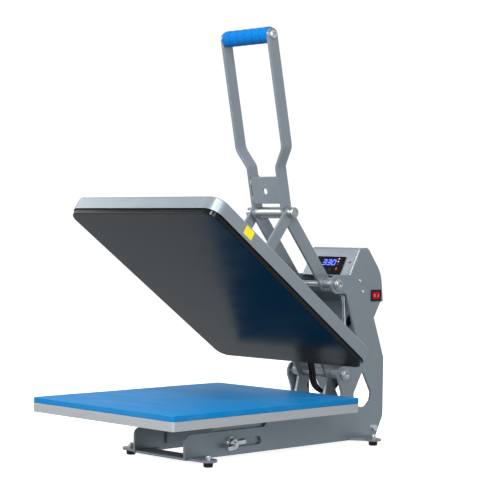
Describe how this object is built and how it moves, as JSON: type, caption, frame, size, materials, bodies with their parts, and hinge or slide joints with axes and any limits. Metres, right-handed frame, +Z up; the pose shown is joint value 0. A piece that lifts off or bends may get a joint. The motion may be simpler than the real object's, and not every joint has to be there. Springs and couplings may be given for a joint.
{
  "type": "heat press",
  "caption": "Clamshell heat press standing open: heated upper platen on a toggle lever over a flat padded table, with a control box behind.",
  "frame": {"origin": "on the floor under the middle of the whole machine, table and open lever included", "axes": "+X to the operator's right, +Y from the front edge of the table back to the control box, +Z up"},
  "size_m": [0.4194, 0.7381, 0.8626],
  "materials": {
    "grey_coat": "silver-grey powder coat",
    "zinc_steel": "bright zinc plate and ground steel",
    "bare_aluminium": "fly-cut aluminium",
    "nonstick_coat": "dark non-stick coat on aluminium",
    "blue_silicone": "satin silicone rubber",
    "blue_foam": "soft foam",
    "black_rubber": "matt rubber",
    "chrome_rod": "hard chrome",
    "black_paint": "satin black paint",
    "black_plastic": "satin black plastic",
    "display_gloss": "gloss black fascia with lit digits",
    "red_rocker": "gloss red plastic",
    "green_board": "green circuit board",
    "white_wool": "heat-proof fibre sheet",
    "yellow_film": "plain yellow film"
  },
  "bodies": {
    "frame": {"left_frame_plate": "grey_coat", "right_frame_plate": "grey_coat", "front_foot_bar": "grey_coat", "rear_foot_bar": "grey_coat", "rubber_feet": "black_rubber", "foot_bolts": "zinc_steel", "rear_tie_bar": "grey_coat", "rear_tie_bolts": "zinc_steel", "middle_tie_bar": "grey_coat", "hinge_shaft": "zinc_steel", "lever_shaft": "zinc_steel", "hinge_spacers": "zinc_steel", "lever_spacers": "zinc_steel", "strut_top_studs": "zinc_steel", "magnet_bracket": "grey_coat", "electromagnet": "zinc_steel", "control_box_shell": "grey_coat", "box_rear_cover": "grey_coat", "box_screws": "zinc_steel", "display_panel": "display_gloss", "circuit_board": "green_board", "heater_relay": "black_plastic", "switch_bezel": "black_plastic", "mains_inlet": "black_plastic", "heater_cable": "black_rubber"},
    "table": {"silicone_pad": "blue_silicone", "lower_platen": "bare_aluminium", "table_carriage": "grey_coat", "table_screws": "zinc_steel", "clamp_stud": "zinc_steel"},
    "clamp_nut": {"wing_nut": "zinc_steel"},
    "clamshell": {"left_arm_plate": "grey_coat", "right_arm_plate": "grey_coat", "hinge_sleeve": "zinc_steel", "arm_cross_plate": "grey_coat", "arm_pins": "zinc_steel", "armature_plate": "zinc_steel", "heater_cover": "grey_coat", "heat_platen": "nonstick_coat", "heating_element": "zinc_steel", "insulation_sheet": "white_wool", "cable_gland": "black_plastic", "yellow_patch": "yellow_film", "pressure_screw": "zinc_steel"},
    "knob": {"pressure_knob": "black_plastic"},
    "lever": {"left_lever_arm": "grey_coat", "right_lever_arm": "grey_coat", "handle_bracket": "grey_coat", "grip_rod": "zinc_steel", "foam_grip": "blue_foam", "elbow_shaft": "zinc_steel", "elbow_sleeve": "grey_coat", "elbow_collars": "zinc_steel"},
    "links": {"toggle_links": "grey_coat"},
    "rods": {"strut_rods": "chrome_rod"},
    "cylinders": {"strut_cylinders": "black_paint"},
    "rocker": {"power_rocker": "red_rocker"},
    "mode_button": {"mode_key": "black_plastic"},
    "down_button": {"down_key": "black_plastic"},
    "up_button": {"up_key": "black_plastic"}
  },
  "joints": [
    {"name": "arm_hinge", "type": "hinge", "parent": "frame", "child": "clamshell", "pos_m": [0, 0.23895, 0.1502], "axis": [1, 0, 0], "range_deg": [0, 34.84], "deforming": ["heater_cable"]},
    {"name": "lever_pivot", "type": "hinge", "parent": "frame", "child": "lever", "pos_m": [0, 0.21295, 0.341], "axis": [1, 0, 0], "range_deg": [0, 66.6]},
    {"name": "link_pivot", "type": "hinge", "parent": "lever", "child": "links", "pos_m": [0, 0.08895, 0.4893], "axis": [1, 0, 0], "range_deg": [-81.6, 0]},
    {"name": "strut_swing", "type": "hinge", "parent": "frame", "child": "rods", "pos_m": [0, 0.25495, 0.322], "axis": [1, 0, 0], "range_deg": [0, 11.2]},
    {"name": "strut_stroke", "type": "slide", "parent": "rods", "child": "cylinders", "axis": [0, 0.039, -0.9992], "range_m": [-0.024, 0]},
    {"name": "table_slide", "type": "slide", "parent": "frame", "child": "table", "axis": [0, 1, 0], "range_m": [0, 0.06]},
    {"name": "clamp_nut_turn", "type": "hinge", "parent": "table", "child": "clamp_nut", "pos_m": [0.075, -0.09605, 0.0332], "axis": [1, 0, 0], "range_deg": [-180, 180]},
    {"name": "pressure_knob_turn", "type": "hinge", "parent": "clamshell", "child": "knob", "pos_m": [0, -0.03264, 0.37993], "axis": [0, 0.5713, 0.8208], "continuous": true},
    {"name": "power_rocker_tip", "type": "hinge", "parent": "frame", "child": "rocker", "pos_m": [0.0674, 0.34495, 0.3155], "axis": [0, 0, 1], "range_deg": [0, 14]},
    {"name": "mode_key_press", "type": "slide", "parent": "frame", "child": "mode_button", "axis": [0, 0.8704, -0.4923], "range_m": [0, 0.0008], "stiffness_N_per_m": 400, "springref_m": -0.0005},
    {"name": "down_key_press", "type": "slide", "parent": "frame", "child": "down_button", "axis": [0, 0.8704, -0.4923], "range_m": [0, 0.0008], "stiffness_N_per_m": 400, "springref_m": -0.0005},
    {"name": "up_key_press", "type": "slide", "parent": "frame", "child": "up_button", "axis": [0, 0.8704, -0.4923], "range_m": [0, 0.0008], "stiffness_N_per_m": 400, "springref_m": -0.0005}
  ],
  "couplings": [
    {"joint": "lever_pivot", "follows": "arm_hinge", "ratio": 1.9046},
    {"joint": "link_pivot", "follows": "arm_hinge", "ratio": -2.3354},
    {"joint": "strut_swing", "follows": "arm_hinge", "ratio": 0.31698},
    {"joint": "strut_stroke", "follows": "arm_hinge", "m_per_rad": -0.039279}
  ]
}
